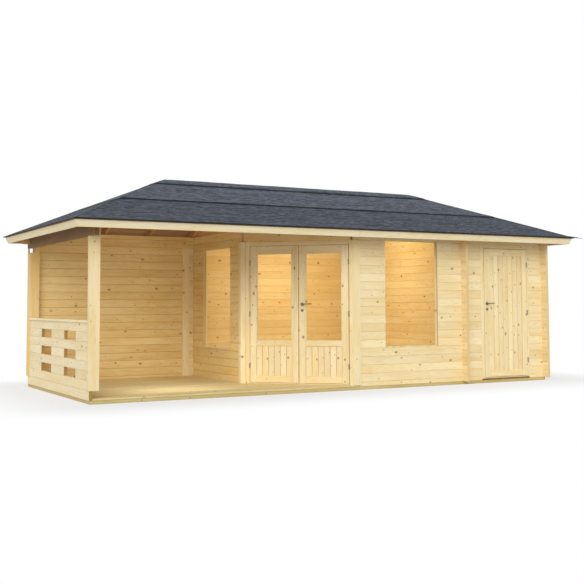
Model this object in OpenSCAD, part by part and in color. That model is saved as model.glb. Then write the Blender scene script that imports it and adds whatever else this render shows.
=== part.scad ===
// Log summer house with a corner room, a side store and a covered terrace under one hipped felt roof

/* [Base] */
// Length of the house's plan along the front
base_len = 7540; // [6900:10:8500]
// Depth of the house's plan from front to back
base_dep = 3080; // [2800:10:3600]
// Set-back of the bearers from the plan's ends and back
bearer_in = 24; // [0:1:28]
// Height of the ground bearers
bearer_h = 45; // [40:1:80]
// Width of the ground bearers
bearer_w = 60; // [50:1:90]
// Largest distance between two cross bearers
bearer_span = 900; // [600:10:1300]
// Thickness of the floor boards
floor_t = 22; // [18:1:30]
// Gap between the edge of a floor and the walls around it
floor_gap = 3; // [1:0.5:6]

/* [Logs] */
// Height of one log course
log_h = 120; // [116:1:126]
// Thickness of a log
log_t = 44; // [36:1:56]
// Number of courses in the long walls
courses = 19; // [19:1:20]
// Depth of the groove between two courses
groove = 4; // [2:0.5:7]
// Length of a log end past a crossing
log_end = 105; // [80:1:130]
// Length of a cross wall's log ends in front of the front wall
front_end = 126; // [100:1:150]
// Distance from the edge of the plan to the outer face of a wall
wall_inset = 15; // [8:1:25]

/* [Plan] */
// Share of the plan's length that the terrace takes
terrace_share = 0.357; // [0.33:0.001:0.40]
// Share of the plan's length that lies left of the partition
partition_share = 0.776; // [0.75:0.001:0.80]
// Distance from the double doorway to the left corner of the cut wall
left_jamb = 130; // [115:1:150]
// Distance from the double doorway to the right corner of the cut wall
right_jamb = 60; // [54:1:90]
// Share of the free store front that lies left of the store door
store_door_share = 0.564; // [0.4:0.001:0.7]

/* [Windows] */
// Share of the front wall's length that its window takes
front_window_share = 0.487; // [0.4:0.001:0.6]
// Share of the front wall's length left of its window
front_window_at = 0.284; // [0.2:0.001:0.35]
// Share of the left wall's length that its window takes
left_window_share = 0.532; // [0.4:0.001:0.6]
// Share of the left wall's length in front of its window
left_window_at = 0.209; // [0.18:0.001:0.35]
// Courses below a window
sill_courses = 4; // [3:1:6]
// Courses that a window spans
window_courses = 13; // [10:1:13]
// Height of a window above its last full course
window_up_h = 22; // [0:1:30]
// Thickness of a window pane
glass_t = 8; // [4:1:16]
// Depth of the pane behind the outer face
glass_set = 26; // [14:1:28]
// Width of the beads that hold the panes
bead_w = 22; // [15:1:30]

/* [Doors] */
// Width of the double doorway between its jambs
double_open = 1500; // [1450:5:1540]
// Width of the store doorway between its jambs
store_open = 880; // [780:5:920]
// Thickness of a door leaf
leaf_t = 40; // [34:1:48]
// Clearance around a door leaf
door_gap = 6; // [5:0.5:9]
// Clearance between the two leaves of the double doors
meet_gap = 10; // [8:0.5:14]
// Thickness of the door sill board
sill_t = 12; // [10:1:16]
// Width of the store door's left jamb and of the door heads
jamb_w = 60; // [50:1:80]
// Width of the store door's right jamb
right_jamb_w = 30; // [26:1:60]
// Depth of the door frames
frame_d = 70; // [60:1:85]
// Width of the stop behind a door leaf
stop_w = 14; // [8:1:24]
// Width of the stiles of a leaf
stile_w = 98; // [85:1:115]
// Height of the top rail of a leaf
top_rail = 110; // [90:1:140]
// Height of the middle rail of a leaf
mid_rail = 75; // [60:1:100]
// Height of the bottom rail of a leaf
bottom_rail = 100; // [80:1:140]
// Height of the boarded panel below the door glass
panel_h = 430; // [350:5:520]
// Thickness of the boarded panels
panel_t = 18; // [14:1:22]
// Width of the cover strip on the left leaf
strip_w = 62; // [50:1:80]
// Thickness of the cover strip
strip_t = 12; // [8:1:16]
// Radius of a hinge barrel
hinge_r = 8; // [6:0.5:10]
// Height of one half of a hinge barrel
hinge_h = 38; // [30:1:50]
// Distance from the leaf's face to a hinge barrel
hinge_set = 2; // [1:0.5:4]
// Distance of the end hinges from the ends of a leaf
hinge_inset = 245; // [180:5:320]

/* [Door furniture] */
// Height of the lever spindle above the ground
lever_z = 1222; // [1120:1:1300]
// Distance of the lock below the lever
lock_drop = 88; // [70:1:110]
// Radius of the spindle rose
rose_r = 25; // [20:1:30]
// Radius of the lock rose
lock_r = 22; // [16:1:28]
// Thickness of a rose
rose_t = 7; // [5:0.5:10]
// Distance from the leaf to the middle of the lever
lever_reach = 46; // [38:1:60]
// Length of the lever
lever_len = 118; // [100:1:135]
// Radius of the lever bar
lever_r = 9; // [7:0.5:10]
// Radius of the spindle through the leaf
spindle_r = 5; // [4:0.5:6]
// Clearance around the spindle
spindle_gap = 0.4; // [0.3:0.1:0.8]

/* [Terrace] */
// Courses in the railing
rail_courses = 8; // [7:1:9]
// Length of an opening in the railing
rail_hole = 530; // [400:10:620]
// Distance from the front of the plan to the first row of openings
rail_hole_off = 585; // [450:5:650]
// Distance between the two rows of openings
rail_hole_step = 1160; // [1000:10:1300]
// Width of the cap on the railing
cap_w = 84; // [70:1:110]
// Thickness of the cap on the railing
cap_t = 28; // [20:1:36]
// Width of a corner post
post_w = 140; // [130:1:160]
// Thickness of a corner post
post_t = 56; // [50:1:70]
// Thickness of the back post below its slot
back_post_t = 160; // [120:1:190]
// Distance that a post stands out from the wall line
post_proud = 25; // [12:1:35]
// Width of the slot in the top of a post
slot_w = 56; // [50:1:64]
// Depth of the slot in the top of the back post
slot_d = 72; // [50:1:100]
// Length of the side plate's log end in front of the front wall line
plate_end = 190; // [150:5:230]
// Distance of the front plate above the heads of the doorways
plate_up_h = 90; // [70:1:110]
// Width of the right prong of the front post
prong_w = 16; // [12:1:24]
// Width of the trim boards on the left corner of the cut wall
trim_w = 62; // [56:1:76]
// Width of the trim board on the front wall
front_trim_w = 115; // [90:1:130]
// Thickness of the trim boards
trim_t = 18; // [14:1:24]
// Width of the board in the terrace's inner corner
corner_board_w = 113; // [90:1:120]
// Distance from that board's middle to the left wall
corner_board_at = 133; // [110:1:150]

/* [Roof] */
// Slope of the roof
pitch = 22.5; // [20:0.1:26]
// Overhang in front of and behind the long walls
front_over_len = 350; // [300:5:420]
// Overhang at the terrace end
left_over_len = 295; // [250:5:340]
// Overhang at the store end
right_over_len = 335; // [280:5:390]
// Depth of the rafters
rafter_d = 67; // [58:1:76]
// Thickness of the rafters
rafter_w = 44; // [36:1:60]
// Largest distance between two rafters
rafter_span = 760; // [600:10:900]
// Depth of the ridge beam
ridge_d = 145; // [110:1:180]
// Thickness of the roof boards
deck_t = 18; // [15:1:24]
// Set-back of the roof boards from the outer face of the fascia
deck_set = 6; // [2:1:12]
// Thickness of the roofing felt
felt_t = 4; // [3:0.5:6]
// Overhang of the felt past the fascia
felt_over = 24; // [15:1:35]
// Distance of the ridge cap's edge below the ridge
cap_reach = 172; // [120:1:240]
// Length of the loose felt corner at the front right
flap_len = 180; // [120:5:230]
// Height of the loose felt corner at its root
flap_h = 70; // [50:5:100]
// Width of the loose felt corner at its tip
flap_tip = 3; // [2:0.5:8]
// Thickness of the fascia boards
fascia_t = 20; // [16:1:26]
// Height of the fascia boards
fascia_h = 96; // [84:1:108]

/* [Hidden] */

log_tone = [0.93, 0.83, 0.60];
board_tone = [0.95, 0.86, 0.65];
floor_tone = [0.76, 0.66, 0.42];
bearer_tone = [0.66, 0.58, 0.36];
felt_tone = [0.27, 0.29, 0.33];
glass_tone = [0.80, 0.88, 0.90, 0.35];
steel_tone = [0.66, 0.67, 0.68];

// Hairline between two solids of one node
hair = 0.3;
// Reach of a cut past the faces that it opens
past = 1;
// Highest number of courses that a wall is searched for joints
most_courses = 40;
round_fn = 48;
// Turn of the cut corner from the front
cut_turn = 45;
// Clearance around the loose felt corner
flap_gap = 1.2;

// Plan lines are set to a tenth of a millimetre, so that neighbours meet in one plane
function snap(v) = round(v * 10) / 10;

// Heights
floor_z = bearer_h + floor_t;
wall_top = bearer_h + courses * log_h;
function joint_x(n) = bearer_h + log_h / 2 + n * log_h;
function joint_y(n) = bearer_h + n * log_h;
lintel_z = joint_x(courses - 2);
plate_z = joint_y(courses - 2);
front_plate_z = lintel_z + plate_up_h;
end_top_x = lintel_z;
end_top_y = joint_y(courses - 1);
foot_z = joint_y(1);
rail_top = joint_y(rail_courses);
window_h = window_courses * log_h + window_up_h;
leaf_z = floor_z + sill_t + door_gap;
leaf_h = lintel_z - jamb_w - door_gap - leaf_z;

// Plan lines
front_y = wall_inset;
back_y = base_dep - wall_inset;
back_in = back_y - log_t;
left_x = wall_inset;
right_x = base_len - wall_inset;
terrace_len = snap(base_len * terrace_share);
partition_x = snap(base_len * partition_share);
corner_run = snap((double_open + left_jamb + right_jamb) / sqrt(2));
corner_right = [terrace_len + corner_run, front_y];
corner_left = [terrace_len, front_y + corner_run];
diag_len = corner_run * sqrt(2);
diag_end = log_t / sqrt(2) + hair;
store_len = store_open + jamb_w + right_jamb_w;
store_free = right_x - partition_x - 2 * log_t - store_len;
store_x = partition_x + log_t + snap(store_free * store_door_share);
front_len = partition_x - corner_right[0];
left_len = back_y - corner_left[1];
front_window = [corner_right[0] + snap(front_len * front_window_at), snap(front_len * front_window_share)];
left_window = [corner_left[1] + snap(left_len * left_window_at), snap(left_len * left_window_share)];
diag_in = corner_left[0] + corner_left[1] + frame_d * sqrt(2);

// Roof lines
roof_t = felt_t + deck_t + rafter_d;
eave_front = front_y - front_over_len;
eave_back = back_y + front_over_len;
eave_left = left_x - left_over_len;
eave_right = right_x + right_over_len;
eave_z = wall_top - front_over_len * tan(pitch) + roof_t / cos(pitch);
roof_half = (eave_back - eave_front) / 2;
ridge_y = (eave_front + eave_back) / 2;
roof_mid_x = (eave_left + eave_right) / 2;
function roof_z(d, n) = eave_z + d * tan(pitch) + n / cos(pitch);
function slope(s, n) = [s * cos(pitch) - n * sin(pitch), eave_z + s * sin(pitch) + n * cos(pitch)];
left_top = roof_z(left_over_len, -roof_t);
right_top = roof_z(right_over_len, -roof_t);
deck_n = -felt_t - deck_t;

// Box around the whole house, whose middle at ground level is the origin
x_low = eave_left - felt_over * cos(pitch);
x_high = eave_right + felt_over * cos(pitch) + flap_len;
module place() translate([-(x_low + x_high) / 2, -ridge_y, 0]) children();

// Log walls: a profile with a groove at each joint, carried along the wall
function joints_between(first, z0, z1) =
    [for (n = [0:most_courses]) let (z = first + n * log_h) if (z > z0 + groove && z < z1 - groove) z];
function log_outline(z0, z1, joints) = concat(
    [[0, z0]],
    [for (z = joints) each [[0, z - groove], [groove, z], [0, z + groove]]],
    [[0, z1], [log_t, z1]],
    [for (i = [len(joints) - 1:-1:0])
        each [[log_t, joints[i] + groove], [log_t - groove, joints[i]], [log_t, joints[i] - groove]]],
    [[log_t, z0]]);
module logs_x(x0, x1, y, z0, z1)
    translate([x0, y, 0]) rotate([90, 0, 90]) linear_extrude(x1 - x0)
        polygon(log_outline(z0, z1, joints_between(joint_x(0), z0, z1)));
module logs_y(y0, y1, x, z0, z1)
    translate([x, y1, 0]) rotate([90, 0, 0]) linear_extrude(y1 - y0)
        polygon(log_outline(z0, z1, joints_between(joint_y(0), z0, z1)));
module box(low, high) translate(low) cube(high - low);

// Frame of the diagonal wall: x along it to the right, y into the room, z up
module on_diagonal() translate([corner_left[0], corner_left[1], 0]) rotate([0, 0, -cut_turn]) children();
// Frame of the store doorway: x along the front, y into the store, z up
module on_store() translate([store_x, front_y, 0]) children();

// Base and floors
base_right = base_len - bearer_in;
base_back = base_dep - bearer_in;
cross_stops = [bearer_in, terrace_len, partition_x, base_right - bearer_w];
function cross_lines() = concat([cross_stops[0]],
    [for (i = [1:3]) let (a = cross_stops[i - 1], b = cross_stops[i], n = ceil((b - a) / bearer_span))
        each [for (k = [1:n]) a + (b - a) * k / n]]);
module ground_bearers() place() color(bearer_tone) {
    box([bearer_in, 0, 0], [base_right, bearer_w, bearer_h]);
    box([bearer_in, base_back - bearer_w, 0], [base_right, base_back, bearer_h]);
    for (x = cross_lines())
        box([x, bearer_w + hair, 0], [x + bearer_w, base_back - bearer_w - hair, bearer_h]);
}
module floor_slab(points) translate([0, 0, bearer_h]) linear_extrude(floor_t) polygon(points);
floor_back = back_in - floor_gap;
module terrace_floor() place() color(floor_tone) {
    x0 = left_x + log_t + floor_gap;
    x1 = corner_right[0] - floor_gap;
    x2 = terrace_len - floor_gap;
    y1 = corner_left[1] - floor_gap;
    floor_slab([[x0, 0], [x1, 0], [x1, diag_in - x1], [diag_in - y1, y1], [x2, y1],
        [x2, floor_back], [x0, floor_back]]);
}
module room_floor() place() color(floor_tone) {
    x0 = terrace_len + log_t + floor_gap;
    x1 = partition_x - floor_gap;
    y0 = front_y + log_t + floor_gap;
    side = diag_in + floor_gap * sqrt(2);
    floor_slab([[side - y0, y0], [x1, y0], [x1, floor_back], [x0, floor_back], [x0, side - x0]]);
}
module store_floor() place() color(floor_tone) {
    x0 = partition_x + log_t + floor_gap;
    x1 = right_x - log_t - floor_gap;
    y0 = front_y + log_t + floor_gap;
    door0 = store_x + floor_gap;
    door1 = store_x + store_len - floor_gap;
    floor_slab([[x0, y0], [door0, y0], [door0, front_y], [door1, front_y], [door1, y0], [x1, y0],
        [x1, floor_back], [x0, floor_back]]);
}

// Walls
module crossing(x)
    box([x, back_in - past, 0], [x + log_t, back_y + past, wall_top + past]);
module back_wall() place() color(log_tone) difference() {
    union() {
        logs_x(terrace_len, right_x, back_in, bearer_h, wall_top);
        logs_x(terrace_len - log_end, right_x + log_end, back_in, bearer_h, end_top_x);
    }
    for (x = [terrace_len, partition_x, right_x - log_t]) crossing(x);
}
module terrace_back_wall() place() color(log_tone) difference() {
    union() {
        logs_x(post_w, terrace_len - log_end, back_in, bearer_h, wall_top);
        logs_x(left_x + log_t, terrace_len, back_in, lintel_z, wall_top);
        logs_x(left_x - log_end, left_x, back_in, lintel_z, end_top_y);
    }
    box([terrace_len - log_end, back_in - past, 0], [terrace_len, back_y + past, lintel_z]);
}
module left_wall() place() color(log_tone) difference() {
    union() {
        logs_y(corner_left[1], back_y, terrace_len, bearer_h, wall_top);
        logs_y(back_y, back_y + log_end, terrace_len, bearer_h, end_top_y);
    }
    top = joint_y(sill_courses) + window_h;
    box([terrace_len - past, left_window[0], joint_y(sill_courses)],
        [terrace_len + log_t + past, left_window[0] + left_window[1], top]);
}
module front_wall() place() color(log_tone) difference() {
    logs_x(corner_right[0], partition_x, front_y, bearer_h, wall_top);
    box([front_window[0], front_y - past, joint_x(sill_courses)],
        [front_window[0] + front_window[1], front_y + log_t + past, joint_x(sill_courses) + window_h]);
}
module cross_wall(x, top) {
    logs_y(front_y, back_y, x, bearer_h, top);
    logs_y(front_y - front_end, back_y + log_end, x, bearer_h, end_top_y);
}
module partition_wall() place() color(log_tone) cross_wall(partition_x, wall_top);
module right_wall() place() color(log_tone) cross_wall(right_x - log_t, right_top);
module store_front_left() place() color(log_tone)
    logs_x(partition_x + log_t, store_x, front_y, bearer_h, wall_top);
module store_front_right() place() color(log_tone) {
    logs_x(store_x + store_len, right_x - log_t, front_y, bearer_h, wall_top);
    logs_x(right_x, right_x + log_end, front_y, bearer_h, end_top_x);
}
module store_front_top() place() color(log_tone)
    logs_x(store_x, store_x + store_len, front_y, lintel_z, wall_top);
module door_head_log() place() color(log_tone)
    on_diagonal() logs_x(diag_end, diag_len - diag_end, 0, lintel_z, wall_top);

// Trim boards: two boards that meet over an outside corner of the cut wall
mitre = tan(cut_turn / 2);
right_leg = right_jamb - hinge_r - door_gap;
module corner_leg(w) polygon([[hair, 0], [w, 0], [w, -trim_t], [hair - mitre * trim_t, -trim_t]]);
module corner_pair(right, left) {
    corner_leg(right);
    mirror([1, -mitre]) corner_leg(left);
}
module corner_boards(x, y, turn, right, left)
    translate([x, y, floor_z]) rotate(turn) linear_extrude(lintel_z - floor_z) corner_pair(right, left);
module corner_trim() place() color(board_tone) {
    corner_boards(corner_right[0], corner_right[1], 0, front_trim_w, right_leg);
    corner_boards(corner_left[0], corner_left[1], -cut_turn, trim_w, trim_w);
    middle = terrace_len - corner_board_at;
    box([middle - corner_board_w / 2, back_in - trim_t, floor_z],
        [middle + corner_board_w / 2, back_in, lintel_z]);
}

// Door frames: two jambs, stops, head and sill around an opening that starts at x = start
module door_frame(start, open, jambs) {
    for (side = [0, 1]) translate([start + side * open, 0, 0]) mirror([side, 0, 0]) {
        box([-jambs[side], 0, floor_z], [0, frame_d, lintel_z]);
        box([hair, leaf_t + door_gap, floor_z + sill_t + hair], [stop_w, frame_d, lintel_z - jamb_w - hair]);
    }
    box([start + stop_w + hair, leaf_t + door_gap, lintel_z - jamb_w - stop_w],
        [start + open - stop_w - hair, frame_d, lintel_z - jamb_w - hair]);
    box([start + hair, 0, lintel_z - jamb_w], [start + open - hair, frame_d, lintel_z]);
    box([start + hair, 0, floor_z], [start + open - hair, frame_d, floor_z + sill_t]);
}
module double_door_frame() place() color(board_tone)
    on_diagonal() door_frame(left_jamb, double_open, [left_jamb - diag_end, right_jamb - diag_end]);
module store_door_frame() place() color(board_tone)
    on_store() door_frame(jamb_w, store_open, [jamb_w, right_jamb_w]);

// Hinges: a lower half on the frame and an upper half on the leaf, around one upright axis
hinge_out = hinge_r + hinge_set;
hinge_levels = [leaf_z + hinge_inset, leaf_z + leaf_h / 2, leaf_z + leaf_h - hinge_inset];
module hinge_halves(jamb_x, side, dir)
    translate([jamb_x + side * door_gap / 2, 0, 0]) for (z = hinge_levels) {
    z0 = dir < 0 ? z - hinge_h : z + hair;
    reach = side * dir * (door_gap / 2 + hinge_r);
    translate([0, -hinge_out, z0]) cylinder(r = hinge_r, h = hinge_h - hair, $fn = round_fn);
    box([min(0, reach), -hinge_out, z0], [max(0, reach), -hair, z0 + hinge_h - hair]);
}
module left_hinges(dir) on_diagonal() hinge_halves(left_jamb, 1, dir);
module right_hinges(dir) on_diagonal() hinge_halves(left_jamb + double_open, -1, dir);
module store_hinges(dir) on_store() hinge_halves(jamb_w + store_open, -1, dir);
module frame_hinges() place() color(steel_tone) {
    left_hinges(-1);
    right_hinges(-1);
    store_hinges(-1);
}
module left_door_hinges() place() color(steel_tone) left_hinges(1);

// Door leaves, drawn with their lower left corner at the origin
double_leaf = (double_open - meet_gap - 2 * door_gap) / 2;
store_leaf = store_open - 2 * door_gap;
glass_z = bottom_rail + panel_h + mid_rail;
lever_inset = stile_w / 2;
module on_left_leaf() on_diagonal() translate([left_jamb + door_gap, 0, leaf_z]) children();
module on_right_leaf() on_diagonal()
    translate([left_jamb + double_open - door_gap - double_leaf, 0, leaf_z]) children();
module on_store_leaf() on_store() translate([jamb_w + door_gap, 0, leaf_z]) children();
module stiles(w) for (x = [0, w - stile_w]) box([x, 0, 0], [x + stile_w, leaf_t, leaf_h]);
module rail(w, z, h) box([stile_w + hair, 0, z], [w - stile_w - hair, leaf_t, z + h]);
module glazed_leaf() {
    stiles(double_leaf);
    rail(double_leaf, 0, bottom_rail);
    rail(double_leaf, bottom_rail + panel_h, mid_rail);
    rail(double_leaf, leaf_h - top_rail, top_rail);
}
module leaf_infill(w, z0, z1, t)
    box([stile_w + hair, (leaf_t - t) / 2, z0 + hair], [w - stile_w - hair, (leaf_t + t) / 2, z1 - hair]);
module spindle_bore()
    translate([lever_inset, -past, lever_z - leaf_z]) rotate([-90, 0, 0])
        cylinder(r = spindle_r + spindle_gap, h = leaf_t + 2 * past, $fn = round_fn);
module left_door_leaf() place() color(board_tone) on_left_leaf() {
    glazed_leaf();
    box([double_leaf - strip_w, -strip_t - hair, 0], [double_leaf, -hair, leaf_h]);
}
module right_door_leaf() place() color(board_tone) on_right_leaf() difference() {
    glazed_leaf();
    spindle_bore();
}
module store_door_leaf() place() color(board_tone) on_store_leaf() difference() {
    union() {
        stiles(store_leaf);
        rail(store_leaf, 0, bottom_rail);
        rail(store_leaf, leaf_h - top_rail, top_rail);
    }
    spindle_bore();
}
module leaf_glass() leaf_infill(double_leaf, glass_z, leaf_h - top_rail, glass_t);
module leaf_panel() leaf_infill(double_leaf, bottom_rail, bottom_rail + panel_h, panel_t);
module left_door_glass() place() color(glass_tone) on_left_leaf() leaf_glass();
module right_door_glass() place() color(glass_tone) on_right_leaf() leaf_glass();
module left_door_panel() place() color(board_tone) on_left_leaf() leaf_panel();
module right_door_panel() place() color(board_tone) on_right_leaf() leaf_panel();
module store_door_panel() place() color(board_tone)
    on_store_leaf() leaf_infill(store_leaf, bottom_rail, leaf_h - top_rail, panel_t);

// Door furniture on both faces of a leaf
module both_faces() {
    children();
    translate([0, leaf_t, 0]) mirror([0, 1, 0]) children();
}
module disc(r, y0, y1) translate([0, y0, 0]) rotate([-90, 0, 0]) cylinder(r = r, h = y1 - y0, $fn = round_fn);
module roses() both_faces() translate([lever_inset, 0, lever_z - leaf_z]) {
    difference() {
        disc(rose_r, -rose_t, 0);
        disc(spindle_r + spindle_gap, -rose_t - past, past);
    }
    translate([0, 0, -lock_drop]) disc(lock_r, -rose_t, 0);
}
module lever() translate([lever_inset, 0, lever_z - leaf_z]) {
    disc(spindle_r, -lever_reach, leaf_t + lever_reach);
    both_faces() {
        disc(lever_r, -lever_reach, -rose_t - spindle_gap);
        translate([0, -lever_reach, 0]) sphere(r = lever_r, $fn = round_fn);
        translate([0, -lever_reach, 0]) rotate([0, 90, 0])
            cylinder(r = lever_r, h = lever_len, $fn = round_fn);
        translate([lever_len, -lever_reach, 0]) sphere(r = lever_r, $fn = round_fn);
    }
}
module right_door_fittings() place() color(steel_tone) {
    on_right_leaf() roses();
    right_hinges(1);
}
module right_door_lever() place() color(steel_tone) on_right_leaf() lever();
module store_door_fittings() place() color(steel_tone) {
    on_store_leaf() roses();
    store_hinges(1);
}
module store_door_lever() place() color(steel_tone) on_store_leaf() lever();

// Windows, drawn in a frame with x along the wall, y into the room and z from the window's sill
module on_front_window() translate([front_window[0], front_y, joint_x(sill_courses)]) children();
module on_left_window()
    translate([terrace_len, left_window[0] + left_window[1], joint_y(sill_courses)])
        rotate([0, 0, -90]) children();
module pane(w) box([hair, glass_set, hair], [w - hair, glass_set + glass_t, window_h - hair]);
module beads(w) {
    y0 = glass_set + glass_t;
    y1 = log_t + bead_w / 2;
    for (x = [hair, w - bead_w - hair])
        box([x, y0, hair], [x + bead_w, y1, window_h - hair]);
    for (z = [hair, window_h - bead_w - hair])
        box([bead_w + 2 * hair, y0, z], [w - bead_w - 2 * hair, y1, z + bead_w]);
}
module window_glass() place() color(glass_tone) {
    on_front_window() pane(front_window[1]);
    on_left_window() pane(left_window[1]);
}
module window_beads() place() color(board_tone) {
    on_front_window() beads(front_window[1]);
    on_left_window() beads(left_window[1]);
}

// Terrace: log railing, its cap, the posts and the plates over the open sides
post_front = front_y - post_proud;
post_back = back_y + post_proud;
rail_back = post_back - back_post_t;
slot_z = plate_z - slot_d;
slot_x = left_x - hair;
module left_railing() place() color(log_tone) difference() {
    union() {
        logs_y(0, base_back, left_x, bearer_h, foot_z);
        logs_y(post_front + post_t, rail_back, left_x, bearer_h, rail_top);
    }
    for (column = [0, 1], row = [2:2:rail_courses - 2]) {
        y0 = rail_hole_off + column * rail_hole_step;
        box([left_x - past, y0, joint_y(row)], [left_x + log_t + past, y0 + rail_hole, joint_y(row + 1)]);
    }
}
module railing_cap() place() color(board_tone)
    box([left_x + (log_t - cap_w) / 2, post_front + post_t, rail_top],
        [left_x + (log_t + cap_w) / 2, rail_back, rail_top + cap_t]);
module front_left_post() place() color(board_tone)
    translate([0, post_front + post_t, 0]) rotate([90, 0, 0]) linear_extrude(post_t) difference() {
        translate([0, foot_z]) square([post_w, front_plate_z - foot_z]);
        translate([-past, plate_z]) square([post_w - prong_w + past, lintel_z]);
    }
module back_left_post() place() color(board_tone) difference() {
    box([0, rail_back, foot_z], [post_w, post_back, lintel_z]);
    box([-past, rail_back - past, slot_z], [slot_x + slot_w, post_back - post_t, lintel_z + past]);
    box([-past, rail_back, plate_z], [left_x + log_t + hair, post_back + past, lintel_z + past]);
    box([slot_x, rail_back, slot_z], [slot_x + slot_w, post_back + past, lintel_z + past]);
}
module side_plate() place() color(log_tone) {
    logs_y(front_y, back_y, left_x, plate_z, left_top);
    logs_y(front_y - plate_end, back_y + log_end, left_x, plate_z, end_top_y);
}
module front_plate() place() color(log_tone) {
    difference() {
        logs_x(left_x + log_t, corner_right[0], front_y, front_plate_z, wall_top);
        on_diagonal() box([0, -hair, lintel_z - past], [diag_len + log_t, diag_len, wall_top + past]);
    }
    logs_x(left_x - log_end, left_x, front_y, front_plate_z, joint_x(courses - 1));
}

// Roof: each slope is a profile across the eave, cut to the slope's own plan
module across_front(points) translate([x_low - past, eave_front, 0]) rotate([90, 0, 90])
    linear_extrude(x_high - x_low + 2 * past) polygon(points);
module across_left(points) translate([eave_left, eave_back + felt_over, 0]) rotate([90, 0, 0])
    linear_extrude(eave_back - eave_front + 2 * felt_over) polygon(points);
module to_back() translate([0, 2 * ridge_y, 0]) mirror([0, 1, 0]) children();
module to_right() translate([2 * roof_mid_x, 0, 0]) mirror([1, 0, 0]) children();
module prism(points) linear_extrude(roof_z(roof_half, felt_t) + past) polygon(points);
function front_plan(c, stop) = [
    [eave_left - felt_over + c, eave_front - felt_over], [eave_right + felt_over - c, eave_front - felt_over],
    [eave_right - roof_half + stop - c, ridge_y - stop], [eave_left + roof_half - stop + c, ridge_y - stop]];
function left_plan(c) = [
    [eave_left - felt_over, eave_front - felt_over + c], [eave_left + roof_half - c, ridge_y],
    [eave_left - felt_over, eave_back + felt_over - c]];
function layer(s, n0, n1, stop) = [slope(s, n0), [roof_half - stop, roof_z(roof_half - stop, n0)],
    [roof_half - stop, roof_z(roof_half - stop, n1)], slope(s, n1)];

module front_slope(points, c, stop) intersection() {
    across_front(points);
    prism(front_plan(c, stop));
}
module left_slope(points, c) intersection() {
    across_left(points);
    prism(left_plan(c));
}
module roof_boards() place() color(board_tone) {
    boards = layer(deck_set, deck_n, -felt_t, hair);
    front_slope(boards, hair, hair);
    to_back() front_slope(boards, hair, hair);
    left_slope(boards, hair);
    to_right() left_slope(boards, hair);
}
felt_layer = layer(-felt_over, -felt_t, 0, hair);
flap_x = eave_right + felt_over * cos(pitch);
flap_y = eave_front - felt_over * cos(pitch);
// Plan of the front felt, which runs on past the right hip as the loose corner
function felt_plan() = let (f = front_plan(hair, hair))
    [f[0], [flap_x + flap_len, f[1][1]], [flap_x + flap_len, flap_y + flap_tip],
    [flap_x - flap_h - hair, flap_y + flap_h], f[2], f[3]];
function flap_cut(c) = [[flap_x - flap_h - c, flap_y - past], [flap_x + flap_len, flap_y - past],
    [flap_x + flap_len, flap_y + flap_tip + c], [flap_x - flap_h - c, flap_y + flap_h + c]];
module roof_felt() place() color(felt_tone) {
    intersection() {
        across_front(felt_layer);
        prism(felt_plan());
    }
    to_back() front_slope(felt_layer, hair, hair);
    left_slope(felt_layer, hair);
    difference() {
        to_right() left_slope(felt_layer, hair);
        prism(flap_cut(flap_gap));
    }
}
module ridge_cap() place() color(felt_tone) intersection() {
    translate([x_low, ridge_y, 0]) rotate([90, 0, 90]) linear_extrude(x_high - x_low) polygon([
        for (p = [[-cap_reach, hair], [0, hair], [cap_reach, hair],
            [cap_reach, felt_t + hair], [0, felt_t + hair], [-cap_reach, felt_t + hair]])
            [p[0], roof_z(roof_half - abs(p[0]), p[1])]]);
    prism(let (f = front_plan(0, 0))
        [f[0], f[1], f[2], [f[1][0], eave_back + felt_over], [f[0][0], eave_back + felt_over], f[3]]);
}
module fascia_boards() place() color(board_tone) {
    top = deck_n - hair;
    low = deck_n - fascia_h;
    board = [slope(0, top), slope(fascia_t, top), slope(fascia_t, low), slope(0, low)];
    front_slope(board, hair, hair);
    to_back() front_slope(board, hair, hair);
    left_slope(board, hair);
    to_right() left_slope(board, hair);
}

// Roof timbers
hip_cut = rafter_w / sqrt(2) + hair;
ridge_stop = rafter_w / 2 + hair;
module rafter_profile() polygon(layer(fascia_t + hair, -roof_t, deck_n - hair, ridge_stop));
module front_rafters() {
    span = eave_right - eave_left;
    n = ceil(span / rafter_span);
    intersection() {
        for (i = [1:n - 1]) translate([eave_left + span * i / n - rafter_w / 2, eave_front, 0])
            rotate([90, 0, 90]) linear_extrude(rafter_w) rafter_profile();
        prism(front_plan(hip_cut, ridge_stop));
    }
}
module left_rafters() {
    span = eave_back - eave_front;
    n = ceil(span / rafter_span);
    intersection() {
        for (i = [1:n - 1]) translate([eave_left, eave_front + span * i / n + rafter_w / 2, 0])
            rotate([90, 0, 0]) linear_extrude(rafter_w) rafter_profile();
        prism(left_plan(hip_cut));
    }
}
// A hip rafter runs from the fascia's corner to the ridge beam, below the line where two slopes meet
hip_drop = rafter_w / 2 / sqrt(2) * tan(pitch);
hip_low = fascia_t * cos(pitch) + (fascia_h - deck_n) * sin(pitch) + rafter_w / 2 / sqrt(2) + hair;
module hip_rafter() intersection() {
    d0 = hip_low;
    d1 = roof_half;
    top = -hip_drop - hair;
    deep = -rafter_d / cos(pitch) + hip_drop;
    translate([eave_left, eave_front, 0]) rotate(45) translate([0, rafter_w / 2, 0]) rotate([90, 0, 0])
        linear_extrude(rafter_w) polygon([
            [d0 * sqrt(2), roof_z(d0, deck_n) + top], [d1 * sqrt(2), roof_z(d1, deck_n) + top],
            [d1 * sqrt(2), roof_z(d1, deck_n) + deep], [d0 * sqrt(2), roof_z(d0, deck_n) + deep]]);
    box([eave_left, eave_front, 0], [eave_left + roof_half - hair, ridge_y - hair, roof_z(roof_half, 0)]);
}
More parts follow.
